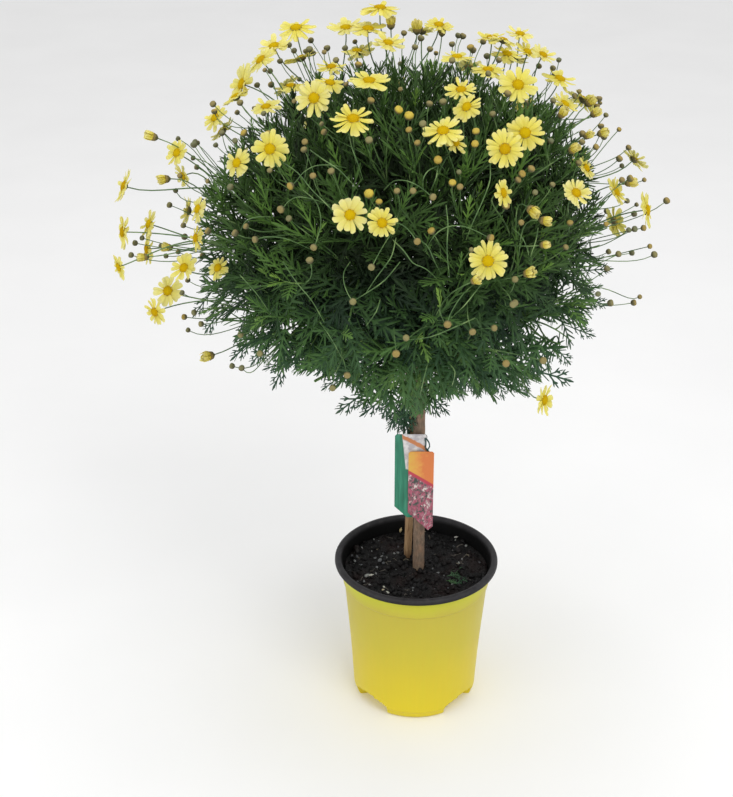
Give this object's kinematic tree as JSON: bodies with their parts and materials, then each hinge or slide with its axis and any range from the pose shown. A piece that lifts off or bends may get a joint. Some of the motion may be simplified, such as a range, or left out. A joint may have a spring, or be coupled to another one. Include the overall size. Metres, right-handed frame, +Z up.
{
  "type": "potted daisy tree",
  "caption": "marguerite daisy grown as a standard: a bare stem beside a cane, a round head of finely cut leaves, pale yellow daisies on long stalks, in a tapered plastic pot",
  "frame": {"origin": "on the pot's axis, at the level the pot stands on", "axes": "+Z up along the stem; the front, with the two labels, faces -Y; +X is to the viewer's right"},
  "size_m": [0.5576, 0.5037, 0.8043],
  "materials": {
    "pot": "yellow outside, black inside and on the rolled rim, satin",
    "compost": "damp, coarse, near black",
    "cane": "pale, dry, split wood",
    "bark": "grey brown bark, matte",
    "leaves": "soft satin green",
    "flowers": "matte petals, pale yellow",
    "label_green": "printed plastic card, satin",
    "label_picture": "printed plastic card, satin"
  },
  "bodies": {
    "root": {"pot": "pot", "soil": "compost", "cane": "cane", "label_green": "label_green", "label_picture": "label_picture", "trunk": "bark", "spray_01": "leaves", "spray_02": "leaves", "spray_03": "leaves", "spray_04": "leaves", "spray_05": "leaves", "spray_06": "leaves", "spray_07": "leaves", "spray_08": "leaves", "spray_09": "leaves", "spray_10": "leaves", "spray_11": "leaves", "spray_12": "leaves", "spray_13": "leaves", "spray_14": "leaves", "spray_15": "leaves", "spray_16": "leaves", "spray_17": "leaves", "spray_18": "leaves", "spray_19": "leaves", "spray_20": "leaves", "spray_21": "leaves", "spray_22": "leaves", "spray_23": "leaves", "flowers_01": "flowers", "flowers_02": "flowers", "flowers_03": "flowers", "flowers_04": "flowers", "flowers_05": "flowers", "flowers_06": "flowers", "flowers_07": "flowers", "flowers_08": "flowers", "flowers_09": "flowers", "flowers_10": "flowers", "flowers_11": "flowers", "flowers_12": "flowers", "flowers_13": "flowers", "flowers_14": "flowers", "flowers_15": "flowers", "flowers_16": "flowers", "flowers_17": "flowers", "flowers_18": "flowers", "flowers_19": "flowers"}
  },
  "joints": []
}
